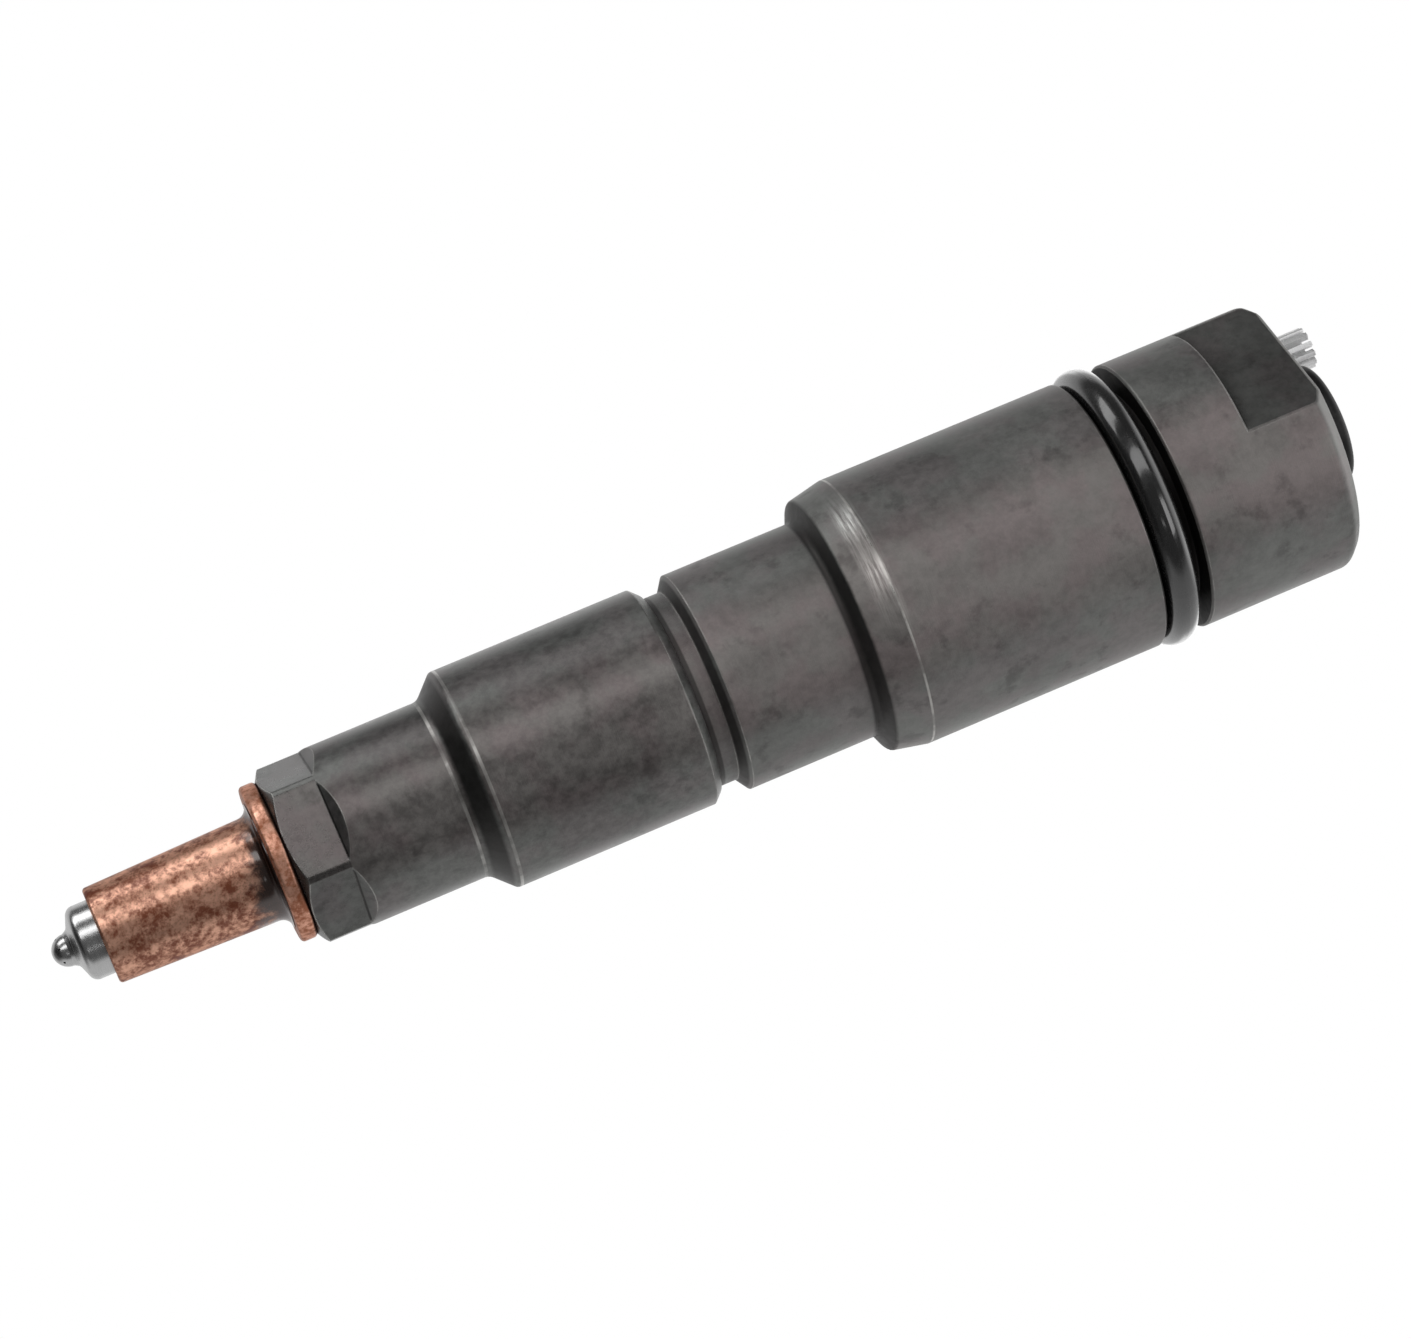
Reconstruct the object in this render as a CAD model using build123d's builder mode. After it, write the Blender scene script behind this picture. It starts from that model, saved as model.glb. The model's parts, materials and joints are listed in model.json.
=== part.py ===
from build123d import *
from math import cos, radians, sin, tan
import os

# Pencil-type diesel fuel injector (nozzle and holder assembly).  All lengths in mm.
# z = 0 is the lower face of the sealing washer, which sits in the cylinder head.
# +Z runs up the injector to the clamped head; the two clamp flats face +Y and -Y;
# the fuel inlet and the locating pin are on the -X side.

# ------------------------------------------------------------------ driving dimensions

# Stations along the axis
Z_TIP = -20.8                # end of the nozzle dome
Z_SLEEVE_FRONT = -16.2       # open end of the copper sleeve
Z_NUT_FRONT = 1.6            # nut front face, on top of the sealing washer
Z_HEX_END = 6.3              # hex faces start to run out
Z_COLLAR_SEAT = 8.5          # nozzle collar rests on the nut's inner shoulder
Z_NUT_CONE_START = 17.8
Z_NOZZLE_TOP = 24.5          # nozzle meets the intermediate plate
Z_BODY_FRONT = 29.5          # plate meets the holder body
Z_NUT_REAR = 40.0
Z_NECK_END = 42.8            # neck opens to the lower body diameter
Z_SHOULDER_START = 55.4
Z_SHOULDER_CORNER = 56.2
Z_CHAMBER_END = 60.0
Z_LEAD_IN_END = 59.5         # full head diameter from here up
Z_INLET = 66.5
Z_LEAK_EXIT = 77.5
Z_GROOVE_START = 83.0
Z_GROOVE_END = 87.5
Z_CLAMP_SHOULDER = 95.1      # the clamp fork presses here
Z_HEAD_END = 103.1

# Outside radii
NOZZLE_SHAFT_R = 3.5
NOZZLE_COLLAR_R = 7.15
NUT_FRONT_R = 8.5
NUT_REAR_R = 10.5
NECK_R = 9.2
LOWER_BODY_R = 10.5
SHOULDER_CORNER_R = 12.3
HEAD_R = 13.0
GROOVE_FLOOR_R = 10.48

# Fits
RUNNING_GAP = 0.02           # radial, needle train
LOCATING_GAP = 0.01          # radial, pins and seated parts

# Nozzle body
DOME_R = 1.5
DOME_BASE_R = 1.75
Z_DOME_BASE = -18.85
Z_SHAFT_FACE = -18.2
DOME_ROOT_FILLET = 0.5
SHAFT_EDGE_FILLET = 0.9
COLLAR_CHAMFER = 0.4
GUIDE_BORE_R = 2.0
STEM_BORE_R = 1.8
GALLERY_R = 3.2
GALLERY_FILLET = 0.5
Z_GALLERY_FLOOR = 11.0
Z_GALLERY_LOW = 11.8
Z_GALLERY_HIGH = 13.2
Z_GALLERY_ROOF = 14.4
SAC_BORE_R = 0.45
Z_SAC_END = -20.1
Z_SEAT_END = -19.54          # narrow end of the seat cone
SEAT_HALF_ANGLE = 30.0       # degrees, each side of the axis
SPRAY_HOLE_R = 0.125
SPRAY_HOLE_COUNT = 6
SPRAY_HOLE_TILT = 72.5       # degrees from -Z
SPRAY_HOLE_REACH = 2.0       # long enough to break out of the dome
Z_SPRAY_ORIGIN = -19.6
FEED_OVERRUN = 1.0           # the feed drilling starts this far outside the nozzle

# Needle train
NEEDLE_LIFT = 0.25
NEEDLE_STOP_GAP = 0.02       # left between needle and plate at full lift
NEEDLE_SEAT_GAP = 0.02       # axial, so the seat faces do not share volume
NEEDLE_TIP_R = 0.3
NEEDLE_STEM_R = 1.5
NEEDLE_JOURNAL_R = 1.2
Z_NEEDLE_SHOULDER = 12.1
Z_JOURNAL_TOP = 25.25
PRESSURE_PIN_R = 2.08
PRESSURE_PIN_NECK_R = 1.5
PRESSURE_PIN_CUP_R = 1.25
Z_PRESSURE_PIN_FOOT = 24.75
Z_PRESSURE_PIN_STEP = 29.3
Z_PRESSURE_PIN_TOP = 31.5
SPRING_SEAT_R = 3.95
SPRING_SPIGOT_R = 2.2
SPRING_SPIGOT_LENGTH = 1.8
Z_SPRING_SEAT_FOOT = 30.6
SMALL_CHAMFER = 0.2

# Spring, backing disc and shims
SPRING_MEAN_R = 3.2
SPRING_WIRE_R = 0.8
SPRING_END_TURNS = 1.0       # closed turns at each end
SPRING_END_PITCH = 1.68      # just over one wire diameter
SPRING_ACTIVE_TURNS = 7.0
Z_SPRING_FOOT = 32.6
Z_SPRING_TOP = 57.3
Z_BACKING_TOP = 58.8
Z_SHIM_TOP = 59.6
BACKING_BORE_R = 1.0

# Retaining nut
HEX_FACE_R = 7.5             # half the 15 mm spanner size
HEX_ANGLE = 3.2              # degrees, first face normal from +X
HEX_CHAMFER_RISE = 0.7       # chamfer cone on the corners, along the axis
HEX_CHAMFER_DEPTH = 1.2      # the same cone, across the axis
HEX_CLEAR_R = 9.5            # hex cuts reach past the nut's outside
NUT_CONE_RISE = 2.0
NUT_CONE_ROOT_FILLET = 1.1
NUT_CONE_EDGE_FILLET = 0.6
NUT_REAR_CHAMFER = 0.8
NUT_SHAFT_BORE_R = 3.65
NUT_COLLAR_BORE_R = 7.2
NUT_COUNTERBORE_R = 9.5
Z_NUT_THREAD_START = 30.2
Z_NUT_COUNTERBORE = 37.0

# Screw joint between nut and holder body, at its pitch radius
NUT_THREAD_R = 8.70
BODY_THREAD_R = 8.68
THREAD_PITCH = 1.0
THREAD_GROOVE_DEPTH = 0.25
THREAD_TURNS = 6
Z_THREAD_FIRST = 31.4

# Intermediate plate and dowels
PLATE_BORE_R = 2.1
PLATE_CHAMFER = 0.3
DUCT_R = 0.8                 # high-pressure duct
DUCT_OFFSET = 5.8            # duct centre from the axis
DOWEL_R = 1.0
DOWEL_OFFSET = 5.7
DOWEL_DEPTH = 2.0            # engagement in each part
DOWEL_END_CHAMFER = 0.2
NOZZLE_DOWEL_ANGLES = (60, 300)
BODY_DOWEL_ANGLES = (110, 250)

# Holder body details
SPIGOT_R = 7.1
Z_SPIGOT_STEP = 30.3
Z_THREAD_END = 37.6
NECK_FLANK_RISE = 0.9
SHOULDER_ROOT_FILLET = 0.5
SHOULDER_CORNER_FILLET = 0.35
HEAD_RIM_CHAMFER = 1.1
HEAD_RIM_FILLET = 0.9        # softens both edges of the chamfer
GROOVE_EDGE_CHAMFER = 0.2
FLAT_EDGE_CHAMFER = 0.15
FLAT_END_BEVEL = 0.35
FLAT_CUT_R = 14.0            # flat cuts reach past the head's outside
CHAMBER_R = 4.2
LEAK_DRILLING_R = 1.5
DRILL_POINT_ANGLE = 30.0     # degrees, floor of a drilled hole against the cross-section
CLAMP_FLAT_OFFSET = 10.5     # half the 21 mm size across the flats
INLET_MOUTH_R = 4.25
INLET_HALF_ANGLE = 30.0
INLET_BORE_R = 1.25
INLET_BORE_END = 5.2         # from the axis

# Washer, sleeve and O-ring
WASHER_OUTER_R = 7.5
WASHER_INNER_R = 3.75
WASHER_FILLET = 0.4
WASHER_RECESS_DEPTH = 0.2    # seats the sleeve's flared end
SLEEVE_FRONT_R = 4.55
SLEEVE_REAR_R = 4.95
SLEEVE_FLARE_R = 6.0
SLEEVE_FLARE_EDGE = 0.1      # the flare's rim stands this far below the washer's face
SLEEVE_FLARE_FILLET = 1.0
SLEEVE_FRONT_FILLET = 0.35
O_RING_SECTION_R = 1.58
O_RING_CENTRE_R = 12.1
Z_O_RING = 84.9

# Plug in the end face
PLUG_BOSS_R = 5.9
PLUG_BOSS_HEIGHT = 2.9
PLUG_BOSS_FILLET = 0.9
PLUG_SHANK_R = 4.98
PLUG_BORE_R = 5.0
Z_PLUG_BORE_END = 93.5
Z_PLUG_FOOT = 94.3
PULLER_BORE_R = 2.5          # tapping size of the M6 puller thread
PULLER_BORE_DEPTH = 8.0
PULLER_COUNTERSINK = 0.5
PLUG_GROOVE_FLOOR_R = 3.4
PLUG_GROOVE_WIDTH = 1.9
PLUG_RING_SECTION_R = 0.78
PLUG_RING_CENTRE_R = 4.2
Z_PLUG_GROOVE = 96.1

# Locating pin
PIN_R = 2.0
PIN_OFFSET = 9.2
PIN_ANGLE = 186.4            # degrees from +X
PIN_HOLE_DEPTH = 6.0
PIN_STAND_OUT = 5.6
PIN_FLUTE_COUNT = 12
PIN_FLUTE_ANGLE = 17.6       # degrees, first flute from the pin's own radial direction
PIN_FLUTE_DEPTH = 0.7
PIN_FLUTE_HALF_WIDTH = 0.36
PIN_FLUTE_OVERRUN = 0.1
PIN_FLUTE_LENGTH = 5.0
PIN_END_RECESS_R = 1.5       # wider than the flute roots, which leaves a ring of teeth
PIN_END_RECESS_DEPTH = 0.7

# ------------------------------------------------------------------ derived stations

seat_slope = tan(radians(SEAT_HALF_ANGLE))
drill_point_rise = tan(radians(DRILL_POINT_ANGLE))
z_seat_apex = Z_SEAT_END - SAC_BORE_R / seat_slope
z_needle_apex = z_seat_apex + NEEDLE_SEAT_GAP
z_needle_top = Z_NOZZLE_TOP - NEEDLE_LIFT - NEEDLE_STOP_GAP
z_thread_last = Z_THREAD_FIRST + (THREAD_TURNS - 1) * THREAD_PITCH
z_thread_middle = (Z_THREAD_FIRST + z_thread_last) / 2

os.makedirs("parts", exist_ok=True)

# ------------------------------------------------------------------ nozzle body

feed_top = Vector(-DUCT_OFFSET, 0, Z_NOZZLE_TOP)
feed_bottom = Vector(-(GALLERY_R - DUCT_R), 0, Z_GALLERY_HIGH)
feed_direction = (feed_bottom - feed_top).normalized()

with BuildPart() as nozzle_body:
    with BuildSketch(Plane.XZ) as nozzle_outline:
        with BuildLine():
            RadiusArc((0, Z_TIP), (DOME_R, Z_TIP + DOME_R), -DOME_R)
            Polyline(
                (DOME_R, Z_TIP + DOME_R),
                (DOME_BASE_R, Z_DOME_BASE),
                (NOZZLE_SHAFT_R, Z_SHAFT_FACE),
                (NOZZLE_SHAFT_R, Z_COLLAR_SEAT),
                (NOZZLE_COLLAR_R, Z_COLLAR_SEAT),
                (NOZZLE_COLLAR_R, Z_NOZZLE_TOP),
                (0, Z_NOZZLE_TOP),
                (0, Z_TIP),
            )
        make_face()
        corners = nozzle_outline.vertices()
        fillet(corners.sort_by_distance((DOME_BASE_R, Z_DOME_BASE))[0], DOME_ROOT_FILLET)
        corners = nozzle_outline.vertices()
        fillet(corners.sort_by_distance((NOZZLE_SHAFT_R, Z_SHAFT_FACE))[0], SHAFT_EDGE_FILLET)
        corners = nozzle_outline.vertices()
        collar_ends = [
            corners.sort_by_distance((NOZZLE_COLLAR_R, Z_COLLAR_SEAT))[0],
            corners.sort_by_distance((NOZZLE_COLLAR_R, Z_NOZZLE_TOP))[0],
        ]
        chamfer(collar_ends, COLLAR_CHAMFER)
    revolve(axis=Axis.Z)

    # Sac, seat cone, stem bore, gallery and needle guide
    with BuildSketch(Plane.XZ) as bore_outline:
        with BuildLine():
            RadiusArc((0, Z_SAC_END), (SAC_BORE_R, Z_SAC_END + SAC_BORE_R), -SAC_BORE_R)
            Polyline(
                (SAC_BORE_R, Z_SAC_END + SAC_BORE_R),
                (SAC_BORE_R, Z_SEAT_END),
                (STEM_BORE_R, z_seat_apex + STEM_BORE_R / seat_slope),
                (STEM_BORE_R, Z_GALLERY_FLOOR),
                (GALLERY_R, Z_GALLERY_LOW),
                (GALLERY_R, Z_GALLERY_HIGH),
                (GUIDE_BORE_R, Z_GALLERY_ROOF),
                (GUIDE_BORE_R, Z_NOZZLE_TOP),
                (0, Z_NOZZLE_TOP),
                (0, Z_SAC_END),
            )
        make_face()
        gallery_corners = bore_outline.vertices().filter_by_position(
            Axis.X, GALLERY_R - 0.01, GALLERY_R + 0.01
        )
        fillet(gallery_corners, GALLERY_FILLET)
    revolve(axis=Axis.Z, mode=Mode.SUBTRACT)

    # Fuel feed from the plate down into the gallery
    with BuildSketch(Plane(origin=feed_top - feed_direction * FEED_OVERRUN, z_dir=feed_direction)):
        Circle(DUCT_R)
    extrude(amount=(feed_bottom - feed_top).length + FEED_OVERRUN, mode=Mode.SUBTRACT)

    # Dowel holes in the top face
    with BuildSketch(Plane.XY.offset(Z_NOZZLE_TOP)):
        for angle in NOZZLE_DOWEL_ANGLES:
            with PolarLocations(DOWEL_OFFSET, 1, start_angle=angle):
                Circle(DOWEL_R + LOCATING_GAP)
    extrude(amount=-DOWEL_DEPTH, mode=Mode.SUBTRACT)

    # Spray holes through the dome
    for hole in range(SPRAY_HOLE_COUNT):
        around = radians(360 / SPRAY_HOLE_COUNT * hole)
        tilt = radians(SPRAY_HOLE_TILT)
        spray = Vector(cos(around) * sin(tilt), sin(around) * sin(tilt), -cos(tilt))
        with BuildSketch(Plane(origin=(0, 0, Z_SPRAY_ORIGIN), z_dir=spray)):
            Circle(SPRAY_HOLE_R)
        extrude(amount=SPRAY_HOLE_REACH, mode=Mode.SUBTRACT)

# ------------------------------------------------------------------ nozzle needle

with BuildPart() as nozzle_needle:
    guide_r = GUIDE_BORE_R - RUNNING_GAP
    with BuildSketch(Plane.XZ):
        with BuildLine():
            Polyline(
                (0, z_needle_apex + NEEDLE_TIP_R / seat_slope),
                (NEEDLE_TIP_R, z_needle_apex + NEEDLE_TIP_R / seat_slope),
                (NEEDLE_STEM_R, z_needle_apex + NEEDLE_STEM_R / seat_slope),
                (NEEDLE_STEM_R, Z_NEEDLE_SHOULDER),
                (guide_r, Z_NEEDLE_SHOULDER + guide_r - NEEDLE_STEM_R),
                (guide_r, z_needle_top),
                (NEEDLE_JOURNAL_R, z_needle_top),
                (NEEDLE_JOURNAL_R, Z_JOURNAL_TOP),
                (0, Z_JOURNAL_TOP),
                close=True,
            )
        make_face()
    revolve(axis=Axis.Z)
    chamfer(nozzle_needle.faces().sort_by(Axis.Z)[-1].edges(), SMALL_CHAMFER)

# ------------------------------------------------------------------ intermediate plate

with BuildPart() as intermediate_plate:
    with BuildSketch(Plane.XY.offset(Z_NOZZLE_TOP)):
        Circle(NOZZLE_COLLAR_R)
        Circle(PLATE_BORE_R, mode=Mode.SUBTRACT)
        with Locations((-DUCT_OFFSET, 0)):
            Circle(DUCT_R, mode=Mode.SUBTRACT)
    extrude(amount=Z_BODY_FRONT - Z_NOZZLE_TOP)
    rims = intermediate_plate.edges().filter_by(GeomType.CIRCLE).sort_by(SortBy.RADIUS)[-2:]
    chamfer(rims, PLATE_CHAMFER)

    with BuildSketch(Plane.XY.offset(Z_NOZZLE_TOP)):
        for angle in NOZZLE_DOWEL_ANGLES:
            with PolarLocations(DOWEL_OFFSET, 1, start_angle=angle):
                Circle(DOWEL_R + LOCATING_GAP)
    extrude(amount=DOWEL_DEPTH, mode=Mode.SUBTRACT)

    with BuildSketch(Plane.XY.offset(Z_BODY_FRONT)):
        for angle in BODY_DOWEL_ANGLES:
            with PolarLocations(DOWEL_OFFSET, 1, start_angle=angle):
                Circle(DOWEL_R + LOCATING_GAP)
    extrude(amount=-DOWEL_DEPTH, mode=Mode.SUBTRACT)

# ------------------------------------------------------------------ dowel pins

with BuildPart() as nozzle_dowel_pins:
    with BuildSketch(Plane.XY.offset(Z_NOZZLE_TOP - DOWEL_DEPTH)):
        for angle in NOZZLE_DOWEL_ANGLES:
            with PolarLocations(DOWEL_OFFSET, 1, start_angle=angle):
                Circle(DOWEL_R)
    extrude(amount=2 * DOWEL_DEPTH)
    chamfer(nozzle_dowel_pins.edges().filter_by(GeomType.CIRCLE), DOWEL_END_CHAMFER)

with BuildPart() as body_dowel_pins:
    with BuildSketch(Plane.XY.offset(Z_BODY_FRONT - DOWEL_DEPTH)):
        for angle in BODY_DOWEL_ANGLES:
            with PolarLocations(DOWEL_OFFSET, 1, start_angle=angle):
                Circle(DOWEL_R)
    extrude(amount=2 * DOWEL_DEPTH)
    chamfer(body_dowel_pins.edges().filter_by(GeomType.CIRCLE), DOWEL_END_CHAMFER)

# ------------------------------------------------------------------ pressure pin

with BuildPart() as pressure_pin:
    with BuildSketch(Plane.XZ):
        with BuildLine():
            Polyline(
                (0, Z_JOURNAL_TOP),
                (PRESSURE_PIN_CUP_R, Z_JOURNAL_TOP),
                (PRESSURE_PIN_CUP_R, Z_PRESSURE_PIN_FOOT),
                (PRESSURE_PIN_R, Z_PRESSURE_PIN_FOOT),
                (PRESSURE_PIN_R, Z_PRESSURE_PIN_STEP),
                (PRESSURE_PIN_NECK_R, Z_PRESSURE_PIN_STEP),
                (PRESSURE_PIN_NECK_R, Z_PRESSURE_PIN_TOP),
                (0, Z_PRESSURE_PIN_TOP),
                close=True,
            )
        make_face()
    revolve(axis=Axis.Z)
    chamfer(pressure_pin.faces().sort_by(Axis.Z)[-1].edges(), SMALL_CHAMFER)

# ------------------------------------------------------------------ spring seat

with BuildPart() as spring_seat:
    with BuildSketch(Plane.XZ):
        with BuildLine():
            Polyline(
                (0, Z_PRESSURE_PIN_TOP),
                (PRESSURE_PIN_NECK_R + RUNNING_GAP, Z_PRESSURE_PIN_TOP),
                (PRESSURE_PIN_NECK_R + RUNNING_GAP, Z_SPRING_SEAT_FOOT),
                (SPRING_SEAT_R, Z_SPRING_SEAT_FOOT),
                (SPRING_SEAT_R, Z_SPRING_FOOT),
                (SPRING_SPIGOT_R, Z_SPRING_FOOT),
                (SPRING_SPIGOT_R, Z_SPRING_FOOT + SPRING_SPIGOT_LENGTH),
                (0, Z_SPRING_FOOT + SPRING_SPIGOT_LENGTH),
                close=True,
            )
        make_face()
    revolve(axis=Axis.Z)
    chamfer(spring_seat.faces().sort_by(Axis.Z)[-1].edges(), SMALL_CHAMFER)
    rims = spring_seat.edges().filter_by(GeomType.CIRCLE).sort_by(SortBy.RADIUS)[-2:]
    chamfer(rims, SMALL_CHAMFER)

# ------------------------------------------------------------------ pressure spring

# Wire path: closed end turns, open active turns, closed end turns.  The wire centre
# starts and ends on the seat planes, and the ends are then ground flat.
end_height = SPRING_END_TURNS * SPRING_END_PITCH
active_height = Z_SPRING_TOP - Z_SPRING_FOOT - 2 * end_height
active_pitch = active_height / SPRING_ACTIVE_TURNS

with BuildPart() as pressure_spring:
    spring_sections = (
        (Z_SPRING_FOOT, SPRING_END_PITCH, end_height),
        (Z_SPRING_FOOT + end_height, active_pitch, active_height),
        (Z_SPRING_TOP - end_height, SPRING_END_PITCH, end_height),
    )
    for z_start, pitch, height in spring_sections:
        with BuildLine() as wire_path:
            Helix(pitch, height, SPRING_MEAN_R, center=(0, 0, z_start))
        with BuildSketch(Plane.XZ):
            with Locations((SPRING_MEAN_R, z_start)):
                Circle(SPRING_WIRE_R)
        sweep(path=wire_path.wires()[0], is_frenet=True)
    with BuildSketch(Plane.XY.offset(Z_SPRING_FOOT)):
        Circle(CHAMBER_R)
    extrude(amount=Z_SPRING_TOP - Z_SPRING_FOOT, mode=Mode.INTERSECT)

# ------------------------------------------------------------------ backing disc and shims

with BuildPart() as spring_backing_disc:
    with BuildSketch(Plane.XY.offset(Z_SPRING_TOP)):
        Circle(SPRING_SEAT_R)
    extrude(amount=Z_BACKING_TOP - Z_SPRING_TOP)
    with BuildSketch(Plane.XY.offset(Z_SPRING_TOP)):
        Circle(SPRING_SPIGOT_R)
    extrude(amount=-SPRING_SPIGOT_LENGTH)
    with BuildSketch(Plane.XY.offset(Z_BACKING_TOP)):
        Circle(BACKING_BORE_R)
    extrude(amount=-(Z_BACKING_TOP - Z_SPRING_TOP + SPRING_SPIGOT_LENGTH), mode=Mode.SUBTRACT)
    rims = spring_backing_disc.edges().filter_by(GeomType.CIRCLE).sort_by(SortBy.RADIUS)[-2:]
    chamfer(rims, SMALL_CHAMFER)

with BuildPart() as spring_shim:
    with BuildSketch(Plane.XY.offset(Z_BACKING_TOP)):
        Circle(SPRING_SEAT_R)
        Circle(LEAK_DRILLING_R, mode=Mode.SUBTRACT)
    extrude(amount=Z_SHIM_TOP - Z_BACKING_TOP)

with BuildPart() as trim_shim:
    with BuildSketch(Plane.XY.offset(Z_SHIM_TOP)):
        Circle(SPRING_SEAT_R)
        Circle(LEAK_DRILLING_R, mode=Mode.SUBTRACT)
    extrude(amount=Z_CHAMBER_END - Z_SHIM_TOP)

# ------------------------------------------------------------------ sealing washer

with BuildPart() as seal_washer:
    with BuildSketch(Plane.XY):
        Circle(WASHER_OUTER_R)
        Circle(WASHER_INNER_R, mode=Mode.SUBTRACT)
    extrude(amount=Z_NUT_FRONT)
    rims = seal_washer.edges().filter_by(GeomType.CIRCLE).sort_by(SortBy.RADIUS)[-2:]
    fillet(rims, WASHER_FILLET)

    # Shallow recess for the sleeve's flared end
    with BuildSketch(Plane.XY):
        Circle(SLEEVE_FLARE_R + LOCATING_GAP)
    extrude(amount=WASHER_RECESS_DEPTH, mode=Mode.SUBTRACT)

# ------------------------------------------------------------------ heat-shield sleeve

with BuildPart() as heat_shield_sleeve:
    sleeve_bore_r = NOZZLE_SHAFT_R + LOCATING_GAP
    with BuildSketch(Plane.XZ) as sleeve_outline:
        with BuildLine():
            Polyline(
                (sleeve_bore_r, Z_SLEEVE_FRONT),
                (SLEEVE_FRONT_R, Z_SLEEVE_FRONT),
                (SLEEVE_REAR_R, -SLEEVE_FLARE_EDGE),
                (SLEEVE_FLARE_R, -SLEEVE_FLARE_EDGE),
                (SLEEVE_FLARE_R, WASHER_RECESS_DEPTH),
                (sleeve_bore_r, WASHER_RECESS_DEPTH),
                close=True,
            )
        make_face()
        corners = sleeve_outline.vertices()
        fillet(corners.sort_by_distance((SLEEVE_FRONT_R, Z_SLEEVE_FRONT))[0], SLEEVE_FRONT_FILLET)
        corners = sleeve_outline.vertices()
        flare_root = (SLEEVE_REAR_R, -SLEEVE_FLARE_EDGE)
        fillet(corners.sort_by_distance(flare_root)[0], SLEEVE_FLARE_FILLET)
    revolve(axis=Axis.Z)

# ------------------------------------------------------------------ retaining nut

with BuildPart() as retaining_nut:
    with BuildSketch(Plane.XZ) as nut_outline:
        with BuildLine():
            Polyline(
                (0, Z_NUT_FRONT),
                (NUT_FRONT_R - HEX_CHAMFER_DEPTH, Z_NUT_FRONT),
                (NUT_FRONT_R, Z_NUT_FRONT + HEX_CHAMFER_RISE),
                (NUT_FRONT_R, Z_NUT_CONE_START),
                (NUT_REAR_R, Z_NUT_CONE_START + NUT_CONE_RISE),
                (NUT_REAR_R, Z_NUT_REAR),
                (0, Z_NUT_REAR),
                close=True,
            )
        make_face()
        corners = nut_outline.vertices()
        fillet(corners.sort_by_distance((NUT_FRONT_R, Z_NUT_CONE_START))[0], NUT_CONE_ROOT_FILLET)
        corners = nut_outline.vertices()
        cone_edge = (NUT_REAR_R, Z_NUT_CONE_START + NUT_CONE_RISE)
        fillet(corners.sort_by_distance(cone_edge)[0], NUT_CONE_EDGE_FILLET)
        corners = nut_outline.vertices()
        chamfer(corners.sort_by_distance((NUT_REAR_R, Z_NUT_REAR))[0], NUT_REAR_CHAMFER)
    revolve(axis=Axis.Z)

    # Hex faces with a 45-degree planar run-out
    for face_number in range(6):
        face_plane = Plane.XZ.rotated((0, 0, HEX_ANGLE + 60 * face_number))
        with BuildSketch(face_plane):
            with BuildLine():
                Polyline(
                    (HEX_FACE_R, Z_NUT_FRONT),
                    (HEX_FACE_R, Z_HEX_END),
                    (HEX_CLEAR_R, Z_HEX_END + HEX_CLEAR_R - HEX_FACE_R),
                    (HEX_CLEAR_R, Z_NUT_FRONT),
                    close=True,
                )
            make_face()
        extrude(amount=NUT_FRONT_R, both=True, mode=Mode.SUBTRACT)

    # Stepped bore: shaft hole, collar bore, threaded bore, rear counterbore
    with BuildSketch(Plane.XZ):
        with BuildLine():
            Polyline(
                (0, Z_NUT_FRONT),
                (NUT_SHAFT_BORE_R, Z_NUT_FRONT),
                (NUT_SHAFT_BORE_R, Z_COLLAR_SEAT),
                (NUT_COLLAR_BORE_R, Z_COLLAR_SEAT),
                (NUT_COLLAR_BORE_R, Z_NUT_THREAD_START - (NUT_THREAD_R - NUT_COLLAR_BORE_R)),
                (NUT_THREAD_R, Z_NUT_THREAD_START),
                (NUT_THREAD_R, Z_NUT_COUNTERBORE),
                (NUT_COUNTERBORE_R, Z_NUT_COUNTERBORE + NUT_COUNTERBORE_R - NUT_THREAD_R),
                (NUT_COUNTERBORE_R, Z_NUT_REAR),
                (0, Z_NUT_REAR),
                close=True,
            )
        make_face()
    revolve(axis=Axis.Z, mode=Mode.SUBTRACT)

    # Thread shown as rings cut into the bore
    with BuildSketch(Plane.XZ):
        with Locations((NUT_THREAD_R, z_thread_middle)):
            with GridLocations(0, THREAD_PITCH, 1, THREAD_TURNS):
                Rectangle(
                    2 * THREAD_GROOVE_DEPTH,
                    2 * THREAD_GROOVE_DEPTH,
                    rotation=45,
                )
    revolve(axis=Axis.Z, mode=Mode.SUBTRACT)

# ------------------------------------------------------------------ holder body

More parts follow.
